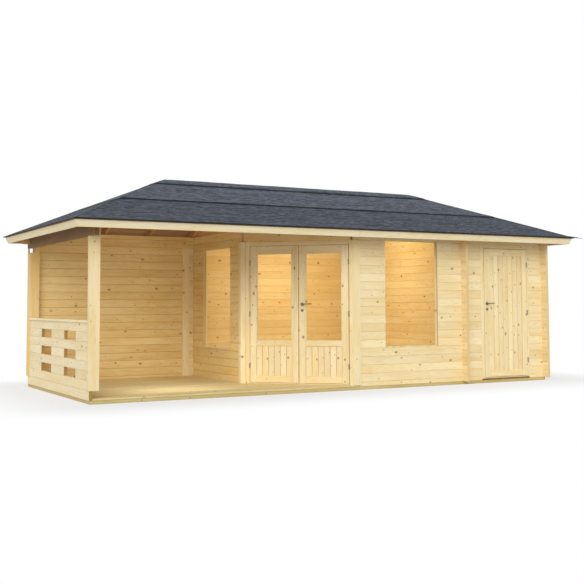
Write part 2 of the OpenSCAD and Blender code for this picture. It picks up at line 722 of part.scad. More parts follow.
module rafters() place() color(board_tone) {
    for (end = [0, 1], side = [0, 1]) translate([end * 2 * roof_mid_x, side * 2 * ridge_y, 0])
        mirror([end, 0, 0]) mirror([0, side, 0]) hip_rafter();
    front_rafters();
    to_back() front_rafters();
    left_rafters();
    to_right() left_rafters();
}
module ridge_beam() place() color(board_tone) {
    top = roof_z(roof_half, deck_n) - rafter_w / 2 * tan(pitch) - hair;
    box([eave_left + roof_half, ridge_y - rafter_w / 2, top - ridge_d],
        [eave_right - roof_half, ridge_y + rafter_w / 2, top]);
}

ground_bearers();
terrace_floor();
room_floor();
store_floor();
back_wall();
terrace_back_wall();
left_wall();
front_wall();
partition_wall();
store_front_left();
store_front_right();
store_front_top();
right_wall();
door_head_log();
corner_trim();
double_door_frame();
store_door_frame();
frame_hinges();
left_door_leaf();
left_door_glass();
left_door_panel();
left_door_hinges();
right_door_leaf();
right_door_glass();
right_door_panel();
right_door_fittings();
right_door_lever();
store_door_leaf();
store_door_panel();
store_door_fittings();
store_door_lever();
window_glass();
window_beads();
left_railing();
railing_cap();
front_left_post();
back_left_post();
side_plate();
front_plate();
rafters();
ridge_beam();
roof_boards();
roof_felt();
ridge_cap();
fascia_boards();
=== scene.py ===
import math
from functools import partial

import bmesh
import bpy
import numpy as np
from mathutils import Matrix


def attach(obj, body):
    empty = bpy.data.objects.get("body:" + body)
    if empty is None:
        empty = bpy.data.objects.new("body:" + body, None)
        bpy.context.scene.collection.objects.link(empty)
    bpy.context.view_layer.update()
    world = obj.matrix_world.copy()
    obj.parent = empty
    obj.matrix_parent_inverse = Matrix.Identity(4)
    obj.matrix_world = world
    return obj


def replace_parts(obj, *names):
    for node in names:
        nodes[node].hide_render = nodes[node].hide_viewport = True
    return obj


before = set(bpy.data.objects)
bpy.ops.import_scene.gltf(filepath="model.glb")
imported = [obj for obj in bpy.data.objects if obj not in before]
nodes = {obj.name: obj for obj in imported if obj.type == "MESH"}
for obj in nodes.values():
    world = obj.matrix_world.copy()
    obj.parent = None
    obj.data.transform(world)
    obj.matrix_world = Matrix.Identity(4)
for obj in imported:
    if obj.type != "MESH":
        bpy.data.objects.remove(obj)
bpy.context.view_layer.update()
print("frame loaded:", len(nodes), "nodes")

# sizes of the house in metres, measured from the base's front left corner
house = dict(
    midX=3.88, midY=1.54, baseLen=7.54, baseDep=3.08, bearerTop=0.045, floorTop=0.067, floorGap=0.003,
    logT=0.044, wallIn=0.015, terraceLen=2.6918, cornerRun=1.195, partitionX=5.851, lintelZ=2.145,
    roofTurn=22.5, plateTop=2.325, eaveRun=0.35, roofDeep=0.089, feltT=0.004, deckT=0.018, feltOver=0.024,
    eaveFront=-0.335, eaveBack=3.415, eaveLeft=-0.28, eaveRight=7.86,
    frameD=0.070, leafT=0.040, doorGap=0.006, leafZ=0.085, leafH=1.994, stileW=0.098,
    leftJamb=0.13, rightJamb=0.06, doubleOpen=1.5,
    storeX=6.2424, storeJamb=0.06, storeRightJamb=0.03, storeOpen=0.88,
    hair=0.0003,  # between pieces that touch
)
roofTurn = math.radians(house["roofTurn"])
sinRoof, cosRoof, tanRoof = math.sin(roofTurn), math.cos(roofTurn), math.tan(roofTurn)
eaveZ = house["plateTop"] - house["eaveRun"] * tanRoof + house["roofDeep"] / cosRoof
halfSpan = (house["eaveBack"] - house["eaveFront"]) / 2
diag = math.sqrt(0.5)
east, north, up, cutWay = (1, 0, 0), (0, 1, 0), (0, 0, 1), (diag, -diag, 0)


# from the base's corner to the shared frame
def toFrame(points):
    return np.asarray(points, float) - np.array([house["midX"], house["midY"], 0.0])


# the cut corner's own axes, along it, into the room and up, turned by 45 degrees to the base's axes
def onCut(points):
    p = np.asarray(points, float)
    x = house["terraceLen"] + diag * (p[..., 0] + p[..., 1])
    y = house["wallIn"] + house["cornerRun"] + diag * (p[..., 1] - p[..., 0])
    return np.stack([x, y, p[..., 2]], -1)


# the store front's own axes, moved to the base's corner
def onStore(points):
    return np.asarray(points, float) + np.array([house["storeX"], house["wallIn"], 0.0])


# points in the base's axes to a mesh that rides a body; kinds says which of the finishes each face takes
def makePiece(name, points, faces, finishes, body, slot, kinds=None, smooth=False, attributes=None):
    mesh = bpy.data.meshes.new(name)
    mesh.from_pydata(toFrame(points).reshape(-1, 3).tolist(), [], [list(f) for f in faces])
    for finish in finishes:
        mesh.materials.append(finish)
    if kinds is not None:
        mesh.polygons.foreach_set("material_index", np.asarray(kinds, np.int32))
    mesh.polygons.foreach_set("use_smooth", np.full(len(mesh.polygons), smooth))
    for key, values in (attributes or {}).items():
        layer = mesh.attributes.new(key, "FLOAT", "POINT")
        layer.data.foreach_set("value", np.asarray(values, np.float32).ravel())
    work = bmesh.new()
    work.from_mesh(mesh)
    bmesh.ops.recalc_face_normals(work, faces=work.faces)
    work.to_mesh(mesh)
    work.free()
    mesh.validate()
    piece = bpy.data.objects.new(name, mesh)
    bpy.context.scene.collection.objects.link(piece)
    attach(piece, body)
    return piece


# several (points, faces) as one piece, with one finish number for each of them
def makeFromParts(name, parts, finishes, body, slot, numbers=None, **more):
    points, faces, start = [], [], 0
    for partPoints, partFaces in parts:
        points.append(np.asarray(partPoints).reshape(-1, 3))
        faces += [[i + start for i in f] for f in partFaces]
        start += len(points[-1])
    kinds = None if numbers is None else np.repeat(numbers, [len(f) for _, f in parts])
    return makePiece(name, np.concatenate(points), faces, finishes, body, slot, kinds, **more)


# straight bars: a ring of P points at both ends of K bars, array (K, 2, P, 3); sides are quads, ends are caps
def barFaces(rings):
    count, _, size, _ = rings.shape
    base = np.arange(count)[:, None] * 2 * size
    p = np.arange(size)[None, :]
    q = (p + 1) % size
    sides = np.stack([base + p, base + q, base + size + q, base + size + p], -1).reshape(-1, 4)
    ends = np.concatenate([base + p, base + size + p]).reshape(-1, size)
    return sides.tolist() + ends.tolist()


# a rectangle with its corners cut by c: eight points around, for K rectangles at once, array (K, 8, 2)
def cutRect(u0, u1, v0, v1, c):
    u0, u1, v0, v1, c = np.broadcast_arrays(*[np.asarray(v, float) for v in (u0, u1, v0, v1, c)])
    u = np.stack([u0 + c, u1 - c, u1, u1, u1 - c, u0 + c, u0, u0], -1)
    v = np.stack([v0, v0, v0 + c, v1 - c, v1, v1, v1 - c, v0 + c], -1)
    return np.stack([u, v], -1).reshape(-1, 8, 2)


# a box with cut long edges for each row (x0, x1, y0, y1, z0, z1), along x when level, else along z
def bars(rows, level, cut):
    b = np.asarray(rows, float).reshape(-1, 6)
    ring = cutRect(*b[:, 2:].T, cut) if level else cutRect(*b[:, :4].T, cut)
    ends = b[:, :2] if level else b[:, 4:]
    rings = []
    for k in (0, 1):
        end = np.broadcast_to(ends[:, k, None, None], (*ring.shape[:2], 1))
        rings.append(np.concatenate([end, ring] if level else [ring, end], -1))
    return np.stack(rings, 1)


# upright and level bars as two parts, each moved to its place
def barParts(upright, level, cut, move):
    return [(move(g), barFaces(g)) for g in (bars(upright, False, cut), bars(level, True, cut))]


# a closed sheet from two grids of the same size: upper face, lower face and the rim between them
def sheet(upper, lower):
    nu, nv = upper.shape[:2]
    at = np.arange(nu * nv).reshape(nu, nv)
    cell = np.stack([at[:-1, :-1], at[1:, :-1], at[1:, 1:], at[:-1, 1:]], -1).reshape(-1, 4)
    under = cell[:, ::-1] + nu * nv
    rim = np.concatenate([at[:-1, 0], at[-1, :-1], at[:0:-1, -1], at[0, :0:-1]])
    after = np.roll(rim, -1)
    edge = np.stack([rim, after, after + nu * nv, rim + nu * nv], -1)
    points = np.concatenate([upper.reshape(-1, 3), lower.reshape(-1, 3)])
    return points, np.concatenate([cell, under, edge]).tolist()


# faces of a round shape with rows of steps points: quads between the rows and a flat cap at each end
def roundFaces(rows, steps):
    i = np.arange(rows - 1)[:, None] * steps
    j = np.arange(steps)[None, :]
    k = (j + 1) % steps
    quads = np.stack([i + j, i + k, i + steps + k, i + steps + j], -1).reshape(-1, 4).tolist()
    return quads + [list(range(steps))[::-1], list(range((rows - 1) * steps, rows * steps))]


# a turned shape: a profile of (radius, height) spun about an axis through centre
def turned(profile, centre, axis, steps):
    prof = np.asarray(profile, float)
    axis = np.asarray(axis, float) / np.linalg.norm(axis)
    offAxis = (0.31, 0.52, 0.79)  # any direction that no axis here follows
    side = np.cross(axis, offAxis)
    side /= np.linalg.norm(side)
    a = np.arange(steps)[:, None] * 2 * math.pi / steps
    circle = np.cos(a) * side + np.sin(a) * np.cross(axis, side)
    grid = np.asarray(centre, float) + prof[:, None, :1] * circle + prof[:, None, 1:] * axis
    return grid.reshape(-1, 3), roundFaces(len(prof), steps)


# a round bar along a path: circles square to the path's direction, with a radius for each point
def tube(path, radius, steps):
    d = np.gradient(path, axis=0)
    d /= np.linalg.norm(d, axis=1, keepdims=True)
    side = np.cross(d, up)
    side /= np.linalg.norm(side, axis=1, keepdims=True)
    a = np.arange(steps)[:, None] * 2 * math.pi / steps
    circle = np.cos(a) * side[:, None] + np.sin(a) * np.cross(side, d)[:, None]
    grid = path[:, None] + radius[:, None, None] * circle
    return grid.reshape(-1, 3), roundFaces(len(path), steps)


# screen colour from 0 to 255 to linear
def tone(r, g, b):
    c = np.array([r, g, b]) / 255
    linear = np.where(c <= 0.04045, c / 12.92, ((c + 0.055) / 1.055) ** 2.4)
    return (*linear.tolist(), 1.0)


# node helpers: a socket is linked, anything else becomes the input's own value
def feed(tree, node, inputs):
    for key, given in inputs.items():
        if isinstance(given, bpy.types.NodeSocket):
            tree.links.new(given, node.inputs[key])
        else:
            node.inputs[key].default_value = given
    return node


def put(tree, kind, inputs=None, **settings):
    node = tree.nodes.new(kind)
    for key, setting in settings.items():
        setattr(node, key, setting)
    return feed(tree, node, inputs or {})


def calc(tree, operation, *terms):
    return put(tree, "ShaderNodeMath", dict(enumerate(terms)), operation=operation).outputs[0]


# the sums that the groups use most, under short names
def sums(tree):
    ways = ("MULTIPLY", "ADD", "SUBTRACT", "DIVIDE", "POWER", "MULTIPLY_ADD")
    return [partial(calc, tree, way) for way in ways]


def vectorCalc(tree, operation, *terms):
    node = put(tree, "ShaderNodeVectorMath", dict(enumerate(terms)), operation=operation)
    return node.outputs["Value" if operation in ("DOT_PRODUCT", "LENGTH") else "Vector"]


def blendTone(tree, factor, under, over, how="MIX"):
    inputs = {0: factor, 6: under, 7: over}  # the colour sockets of a Mix node
    return put(tree, "ShaderNodeMix", inputs, data_type="RGBA", blend_type=how).outputs[2]


def joinXyz(tree, x, y, z):
    return put(tree, "ShaderNodeCombineXYZ", {0: x, 1: y, 2: z}).outputs[0]


def ramp(tree, source, low, high, toLow=0.0, toHigh=1.0, smooth=True):
    inputs = {0: source, 1: low, 2: high, 3: toLow, 4: toHigh}
    how = "SMOOTHSTEP" if smooth else "LINEAR"
    return put(tree, "ShaderNodeMapRange", inputs, interpolation_type=how).outputs[0]


def noise(tree, vector, scale=1.0, detail=2.0, rough=0.5):
    inputs = {"Vector": vector, "Scale": scale, "Detail": detail, "Roughness": rough}
    return put(tree, "ShaderNodeTexNoise", inputs).outputs[0]


def bumped(tree, strength, deep, height):
    inputs = {"Strength": strength, "Distance": deep, "Height": height}
    return put(tree, "ShaderNodeBump", inputs).outputs[0]


def newGroup(name, inputs, outputs):
    tree = bpy.data.node_groups.new(name, "ShaderNodeTree")
    for way, keys in (("INPUT", inputs), ("OUTPUT", outputs)):
        for key in keys:
            tree.interface.new_socket(key, in_out=way, socket_type="NodeSocketFloat")
    return tree, tree.nodes.new("NodeGroupInput").outputs, tree.nodes.new("NodeGroupOutput")


def useGroup(tree, group, inputs):
    node = put(tree, "ShaderNodeGroup", node_tree=group)
    return feed(tree, node, inputs).outputs


def newFinish(name):
    finish = bpy.data.materials.new(name)
    finish.use_nodes = True
    tree = finish.node_tree
    return finish, tree, tree.nodes["Principled BSDF"]


# which log or board a point is on: whole steps of pitch from first; seed is one random number for each step
def makeCourseGroup():
    tree, given, out = newGroup("timberCourse", ["Across", "First", "Pitch"], ["Seed", "Local"])
    times, _, minus, over, *_ = sums(tree)
    step = over(minus(given["Across"], given["First"]), given["Pitch"])
    index = calc(tree, "FLOOR", step)
    draw = put(tree, "ShaderNodeTexWhiteNoise", {"W": index}, noise_dimensions="1D")
    local = times(minus(minus(step, index), 0.5), given["Pitch"])
    feed(tree, out, {"Seed": draw.outputs["Value"], "Local": local})
    return tree


# pine figure: contours of a noise stretched along the grain, fine fibres, and one knot at most in each cell
pine = dict(
    cell=0.27, seedShift=23.7, seedMix=91.0, cellRow=0.37,
    knotSmall=0.0032, knotGrow=0.0070, knotLong=1.35, sizeMix=7.31, sizePower=2.2,
    knotRoom=0.7, knotSide=0.075, knotRim=(1.15, 0.75), haloRim=(3.2, 0.9),
    lineAlong=0.75, lineAcross=13.0, lineSeed=9.0, lineRough=0.4, lineBend=0.1, lineCount=15.0, lineSharp=2.2,
    fibreAlong=6.0, fibreAcross=320.0, broadAlong=0.9, broadAcross=6.0, broadSeed=31.0,
    lineHigh=-0.5, knotHigh=0.4,
)


def makeFigureGroup():
    tree, given, out = newGroup("pineFigure", ["Along", "Across", "Through", "Seed", "Knots"],
                                ["Lines", "Fibre", "Broad", "Knot", "Halo", "Height"])
    times, plus, minus, over, power, timesPlus = sums(tree)
    p = pine
    across, through, seed = given["Across"], given["Through"], given["Seed"]
    along = timesPlus(seed, p["seedShift"], given["Along"])
    # a knot's place and size are drawn for each cell along the grain
    cells = over(along, p["cell"])
    cell = calc(tree, "FLOOR", cells)
    spot = joinXyz(tree, cell, times(seed, p["seedMix"]), p["cellRow"])
    draws = put(tree, "ShaderNodeTexWhiteNoise", {"Vector": spot}, noise_dimensions="3D").outputs["Color"]
    drawAlong, drawAcross, draw = put(tree, "ShaderNodeSeparateColor", {0: draws}).outputs
    centre = timesPlus(drawAlong, p["knotRoom"], plus(cell, (1 - p["knotRoom"]) / 2))
    du = times(minus(cells, centre), p["cell"] / p["knotLong"])
    dv = timesPlus(minus(drawAcross, 0.5), -p["knotSide"], across)
    grow = power(calc(tree, "FRACT", times(draw, p["sizeMix"])), p["sizePower"])
    size = timesPlus(grow, p["knotGrow"], p["knotSmall"])
    far = over(calc(tree, "SQRT", plus(times(du, du), times(dv, dv))), size)
    there = calc(tree, "LESS_THAN", draw, given["Knots"])
    knot, halo = (times(ramp(tree, far, *p[rim]), there) for rim in ("knotRim", "haloRim"))
    # growth lines bend round the knots
    lineAcross = timesPlus(across, p["lineAcross"], times(seed, p["lineSeed"]))
    lineSpot = joinXyz(tree, times(along, p["lineAlong"]), lineAcross, times(through, p["lineAcross"]))
    field = timesPlus(halo, p["lineBend"], noise(tree, lineSpot, rough=p["lineRough"]))
    fold = calc(tree, "PINGPONG", times(field, p["lineCount"]), 0.5)
    lines = power(times(fold, 2.0), p["lineSharp"])
    fibreSide, fibreDeep = (times(way, p["fibreAcross"]) for way in (across, through))
    fibre = noise(tree, joinXyz(tree, times(along, p["fibreAlong"]), fibreSide, fibreDeep), detail=1.0)
    broadAcross = timesPlus(across, p["broadAcross"], times(seed, p["broadSeed"]))
    broad = noise(tree, joinXyz(tree, times(along, p["broadAlong"]), broadAcross, 0.0), detail=1.0)
    height = timesPlus(lines, p["lineHigh"], timesPlus(knot, p["knotHigh"], fibre))
    feed(tree, out, {"Lines": lines, "Fibre": fibre, "Broad": broad, "Knot": knot, "Halo": halo,
                     "Height": height})
    return tree


# end grain: rings about a pith that lies beside the log, with a few dark checks
endGrain = dict(pithStart=-0.045, pithSpread=0.09, pithSide=0.05, rings=150.0, wobble=30.0,
                checkTurns=3.0, checkScale=4.0, checkRange=(0.70, 0.76))


def makeEndGroup():
    tree, given, out = newGroup("endRings", ["Across", "Through", "Seed"], ["Rings", "Check"])
    times, plus, minus, _, _, timesPlus = sums(tree)
    e = endGrain
    across, through, seed = given["Across"], given["Through"], given["Seed"]
    dy = minus(across, timesPlus(seed, e["pithSpread"], e["pithStart"]))
    dz = plus(through, times(seed, e["pithSide"]))
    far = calc(tree, "SQRT", plus(times(dy, dy), times(dz, dz)))
    wobble = noise(tree, joinXyz(tree, across, through, seed), scale=e["wobble"])
    rings = calc(tree, "PINGPONG", plus(times(far, e["rings"]), wobble), 0.5)
    angle = times(calc(tree, "ARCTAN2", dy, dz), e["checkTurns"])
    split = noise(tree, joinXyz(tree, angle, seed, 0.0), scale=e["checkScale"])
    feed(tree, out, {"Rings": times(rings, 2.0), "Check": ramp(tree, split, *e["checkRange"])})
    return tree


courseGroup, figureGroup, endGroup = makeCourseGroup(), makeFigureGroup(), makeEndGroup()

# timber: a figure and a tone for each log or board, dark joints, rings where a face cuts the grain, and
# painted shade on faces that look one way
timber = dict(
    first=0.0, pitch=0.12, knots=0.38, spread=0.06, spreadUp=0.35, tint=(1.25, 1.7),
    pale=tone(245, 230, 187), warm=tone(238, 214, 158), line=tone(200, 152, 88),
    knotTone=tone(96, 56, 28), haloTone=tone(196, 140, 78), endTone=tone(228, 198, 140),
    lineShare=0.24, fibreShare=0.22, haloShare=0.55, knotShare=0.85, ringShare=0.25, checkShare=0.5,
    joint=0.0, jointWide=0.006, jointTight=0.002, shaded=None,
    broadRange=(0.3, 0.75), fibreRange=(0.2, 0.8), facing=(0.3, 0.6), cutFace=(0.75, 0.85),
    rough=(0.54, 0.72), gloss=0.3, bump=0.25, bumpDeep=0.0012,
)


def makeTimber(name, along, across, **changes):
    s = {**timber, **changes}
    finish, tree, shader = newFinish(name)
    at = put(tree, "ShaderNodeTexCoord").outputs
    a, b = np.asarray(along, float), np.asarray(across, float)
    ways = [tuple(way) for way in (a, b, np.cross(a, b))]
    run, rise, depth = (vectorCalc(tree, "DOT_PRODUCT", at["Object"], way) for way in ways)
    course = useGroup(tree, courseGroup, {"Across": rise, "First": s["first"], "Pitch": s["pitch"]})
    local, seed = course["Local"], course["Seed"]
    figure = useGroup(tree, figureGroup, {"Along": run, "Across": local, "Through": depth, "Seed": seed,
                                          "Knots": s["knots"]})
    end = useGroup(tree, endGroup, {"Across": local, "Through": depth, "Seed": seed})

    def lay(under, mask, share, over):  # a tone over another, by a share of the mask
        return blendTone(tree, calc(tree, "MULTIPLY", mask, share), under, over)

    pale, warm, line, joint = s["pale"], s["warm"], s["line"], s["joint"]
    # painted shade: faces that look the given way blend to deeper tones and darker joints, as if they lay in
    # shade
    if s["shaded"]:  # deeper tones on the face that looks one way
        turn = vectorCalc(tree, "DOT_PRODUCT", at["Normal"], s["shaded"]["way"])
        faces = ramp(tree, turn, *s["facing"])
        keys = ("pale", "warm", "line")
        pale, warm, line = (blendTone(tree, faces, s[key], s["shaded"][key]) for key in keys)
        joint = ramp(tree, faces, 0.0, 1.0, joint, s["shaded"]["joint"])
    body = blendTone(tree, ramp(tree, figure["Broad"], *s["broadRange"]), pale, warm)
    body = lay(body, figure["Lines"], s["lineShare"], line)
    body = lay(body, figure["Fibre"], s["fibreShare"], warm)
    lightest, darkest = 1.0 + s["spread"] * s["spreadUp"], 1.0 - s["spread"]
    shade = ramp(tree, seed, 0.0, 1.0, lightest, darkest, smooth=False)
    tint = joinXyz(tree, shade, *(calc(tree, "POWER", shade, power) for power in s["tint"]))
    body = blendTone(tree, 1.0, body, tint, "MULTIPLY")
    body = lay(body, figure["Halo"], s["haloShare"], s["haloTone"])
    body = lay(body, figure["Knot"], s["knotShare"], s["knotTone"])
    if s["shaded"] or s["joint"]:
        edge = s["pitch"] / 2
        nearJoint = ramp(tree, calc(tree, "ABSOLUTE", local), edge - s["jointWide"], edge - s["jointTight"])
        body = lay(body, nearJoint, joint, line)
    endBody = lay(s["endTone"], end["Rings"], s["ringShare"], line)
    endBody = lay(endBody, end["Check"], s["checkShare"], s["knotTone"])
    square = calc(tree, "ABSOLUTE", vectorCalc(tree, "DOT_PRODUCT", at["Normal"], ways[0]))
    feed(tree, shader, {
        "Base Color": blendTone(tree, ramp(tree, square, *s["cutFace"]), body, endBody),
        "Roughness": ramp(tree, figure["Fibre"], *s["fibreRange"], *s["rough"]),
        "Normal": bumped(tree, s["bump"], s["bumpDeep"], figure["Height"]),
        "Specular IOR Level": s["gloss"],
    })
    return finish


# logs: the courses of the front and the cut corner start half a log higher than those of the sides
sideLogs = dict(first=house["bearerTop"], joint=0.25)
frontLogs = dict(first=house["bearerTop"] + timber["pitch"] / 2, joint=0.25)
# painted shade: deeper, more orange tones and darker joints for the log faces under the terrace roof and the
# log above the double doors
shade = dict(pale=tone(243, 220, 162), warm=tone(234, 202, 132), line=tone(172, 118, 60), joint=0.42)
logsEast = makeTimber("logsAlongFront", east, up, **frontLogs)
logsNorth = makeTimber("logsAlongSide", north, up, **sideLogs)
logsShade = makeTimber("logsBehindTerracePaintedShade", east, up, **frontLogs, shaded=dict(way=(0, -1, 0), **shade))
logsShadeNorth = makeTimber("logsBesideTerracePaintedShade", north, up, **sideLogs, shaded=dict(way=(-1, 0, 0), **shade))
logsCut = makeTimber("logsAlongCutPaintedShade", cutWay, up, **frontLogs, shaded=dict(way=(-diag, -diag, 0), **shade))
# painted light and shade: the railing logs take paler tones than the wall logs, where their outer faces would
# be lit, and dark log ends, as if in shadow
railPaintedLightAndShade = makeTimber("railingLogsPaintedLightAndShade", north, up, **sideLogs, pale=tone(248, 236, 200),
                       warm=tone(240, 220, 170), endTone=tone(158, 124, 70))
# painted shade: the side plate takes dark tones and dark ends, as if in the shade of the side eave
platePaintedShade = makeTimber("plateTimberPaintedShade", north, up, first=house["bearerTop"], pale=tone(151, 117, 78),
                        warm=tone(136, 101, 60), line=tone(108, 75, 42), endTone=tone(126, 88, 48))

# roof timber, seen from below, with painted shade: darker tones where the boards' underside and the rafters
# lie in the roof's shade
ceilingPaintedShade = dict(pitch=0.036, spread=0.12, pale=tone(178, 134, 80), warm=tone(158, 112, 62),
               line=tone(126, 84, 44))
ceilingEast = makeTimber("roofBoardsFrontPaintedShade", east, up, **ceilingPaintedShade)
ceilingNorth = makeTimber("roofBoardsSidePaintedShade", north, up, **ceilingPaintedShade)
rafterNorth = makeTimber("rafterTimberPaintedShade", north, up, pale=tone(204, 162, 104), warm=tone(186, 142, 86),
                         line=tone(146, 102, 56))

# planed boards: trims, eaves, posts and doors
trim = dict(knots=0.4, spread=0.04)
trimUp = makeTimber("uprightBoards", up, east, pitch=0.14, **trim)
trimEast = makeTimber("levelBoardsFront", east, up, pitch=0.11, **trim)
eave = dict(pale=tone(251, 241, 206), warm=tone(245, 228, 180), pitch=0.2, knots=0.35, spread=0.03)
eaveEast = makeTimber("eaveBoardsFront", east, up, **eave)
eaveNorth = makeTimber("eaveBoardsSide", north, up, **eave)
# painted shade: the back post takes deeper, yellower tones, as if in the shade of the terrace roof
postPaintedShade = makeTimber("backPostPaintedShade", up, east, pitch=0.3, spread=0.03, pale=tone(238, 214, 154),
                    warm=tone(228, 194, 126))
doorWood = dict(pitch=0.1, knots=0.45, spread=0.04)
doorUp = makeTimber("doorStiles", up, cutWay, **doorWood)
doorLevel = makeTimber("doorRails", cutWay, up, **doorWood)

# base: worn floor boards and treated bearers, with painted shade along the bearers' top and bottom edges
floorWood = makeTimber("floorBoards", east, north, first=-house["midY"], pitch=0.1, pale=tone(232, 216, 168),
                       warm=tone(218, 198, 140), line=tone(186, 148, 88), spread=0.10, knots=0.3)
# painted shade: dark bands along the bearer's top edge, under the floor boards, and along its bottom edge at
# the ground
bearerWood = makeTimber("bearerTimber", east, up, pitch=house["bearerTop"], joint=0.55, jointWide=0.009,
                        pale=tone(214, 196, 138), warm=tone(188, 166, 104), line=tone(140, 114, 64),
                        endTone=tone(204, 182, 124), spread=0.05, knots=0.35)
print("timber finishes made")

# felt strips: where each starts up the slope, how it laps, folds over the hips and waves
felt = dict(
    starts=(-house["feltOver"], 0.96, 1.82), lap=0.09, lapShadowWide=0.06, edgeShadowRun=0.05, ridgeGap=0.004,
    columns=72, rows=14, fold=0.09, noFold=0.0005, foldLift=0.0045, rise=0.0045, riseRun=0.11, risePower=0.7,
    wave=0.0012, waves=7, along=(2.1, 5.0), upward=(3.3, 2.7), slant=(7.7, 3.1), slantShare=0.6,
    calmRun=0.2, calmLeast=0.25, stripTones=(0.25, 0.75, 0.95), plainRise=0.1,
)
mineral = dict(
    streak=(1.3, 15.0, 4.0, 0.6), fleck=(9.0, 70.0, 2.0, 0.7),  # scale along and across, detail, roughness
    grain=420.0,
    dark=tone(50, 56, 63), light=tone(80, 86, 97), streakRange=(0.3, 0.72),
    paleFleck=tone(116, 124, 139), paleRange=(0.51, 0.66, 0.0, 0.8),
    darkFleck=tone(18, 20, 25), darkRange=(0.48, 0.34, 0.0, 0.95),
    grainTone=tone(118, 122, 130), grainRange=(0.45, 0.7), grainShare=0.35,
    # painted shadow tones for the felt's lower edge and for its laps
    stripShade=(0.66, 1.14), edgeShadowTone=tone(12, 13, 16), edgeShadowShare=0.6, lapShadowTone=tone(8, 9, 11), lapSoft=0.003,
    rough=0.9, gloss=0.2, bump=0.5, bumpDeep=0.002, streakHigh=1.5,
)


# mineral felt: soft streaks and flecks along the strip, fine grains, and one tone for each strip;
# the mesh keeps that tone as "strip", and the way up the slope as "rise", for the painted shadows at the
# lower edge and the laps
def makeFelt(name, along):
    m = mineral
    finish, tree, shader = newFinish(name)
    at = put(tree, "ShaderNodeTexCoord").outputs["Object"]
    marks = [put(tree, "ShaderNodeAttribute", attribute_name=key) for key in ("strip", "rise")]
    strip, rise = (mark.outputs["Fac"] for mark in marks)

    def stretched(lengthwise, crosswise, detail, rough):
        scale = tuple(np.where(np.asarray(along) > 0.5, lengthwise, crosswise))
        return noise(tree, vectorCalc(tree, "MULTIPLY", at, scale), detail=detail, rough=rough)

    streak, fleck = stretched(*m["streak"]), stretched(*m["fleck"])
    grain = noise(tree, at, scale=m["grain"], detail=1.0)
    body = blendTone(tree, ramp(tree, streak, *m["streakRange"]), m["dark"], m["light"])
    for key in ("pale", "dark"):
        body = blendTone(tree, ramp(tree, fleck, *m[key + "Range"]), body, m[key + "Fleck"])
    grains = calc(tree, "MULTIPLY", ramp(tree, grain, *m["grainRange"]), m["grainShare"])
    body = blendTone(tree, grains, body, m["grainTone"])
    level = ramp(tree, strip, 0.0, 1.0, *m["stripShade"], smooth=False)
    body = blendTone(tree, 1.0, body, joinXyz(tree, level, level, level), "MULTIPLY")
    first, *others = felt["starts"]
    # painted shadow: near black along the lowest strip's lower edge, where the overhang's shadow would fall
    edge = ramp(tree, rise, first + felt["edgeShadowRun"], first + felt["edgeShadowRun"] * m["edgeShadowShare"])
    body = blendTone(tree, edge, body, m["edgeShadowTone"])
    # painted shadow: a dark band on each strip just below the lower edge of the strip above it
    half = felt["lapShadowWide"] / 2
    for start in others:
        off = calc(tree, "ABSOLUTE", calc(tree, "SUBTRACT", rise, start - half))
        lap = ramp(tree, off, half + m["lapSoft"], half - m["lapSoft"])
        body = blendTone(tree, lap, body, m["lapShadowTone"])
    height = calc(tree, "MULTIPLY_ADD", streak, m["streakHigh"], grain)
    feed(tree, shader, {
        "Base Color": body,
        "Roughness": m["rough"],
        "Normal": bumped(tree, m["bump"], m["bumpDeep"], height),
        "Specular IOR Level": m["gloss"],
    })
    return finish


feltFront, feltSide = makeFelt("feltAlongFront", east), makeFelt("feltAlongSide", north)

pane = dict(tone=(0.97, 0.985, 0.98, 1), rough=0.01, ior=1.08, passTone=(0.94, 0.96, 0.95, 1))


# clear glass that lets light through to the room
def makeGlass():
    finish, tree, shader = newFinish("clearPane")
    feed(tree, shader, {"Base Color": pane["tone"], "Roughness": pane["rough"], "IOR": pane["ior"],
                        "Transmission Weight": 1.0})
    path = put(tree, "ShaderNodeLightPath").outputs
    passes = calc(tree, "MAXIMUM", path["Is Shadow Ray"], path["Is Diffuse Ray"])
    through = put(tree, "ShaderNodeBsdfTransparent", {"Color": pane["passTone"]})
    mix = put(tree, "ShaderNodeMixShader", {0: passes, 1: shader.outputs[0], 2: through.outputs[0]})
    feed(tree, tree.nodes["Material Output"], {"Surface": mix.outputs[0]})
    return finish


steel = dict(brush=(900.0, 900.0, 60.0), brushRange=(0.2, 0.8), rough=(0.28, 0.46))


# brushed steel: streaks of a noise drawn out upward
def makeSteel(name, dark, light):
    finish, tree, shader = newFinish(name)
    at = put(tree, "ShaderNodeTexCoord").outputs["Object"]
    brush = noise(tree, vectorCalc(tree, "MULTIPLY", at, steel["brush"]))
    feed(tree, shader, {"Base Color": blendTone(tree, brush, dark, light), "Metallic": 1.0,
                        "Roughness": ramp(tree, brush, *steel["brushRange"], *steel["rough"])})
    return finish


glassFinish = makeGlass()
steelFinish = makeSteel("satinSteel", tone(136, 130, 116), tone(178, 171, 156))
handleFinish = makeSteel("handleSteel", tone(104, 101, 92), tone(150, 146, 134))

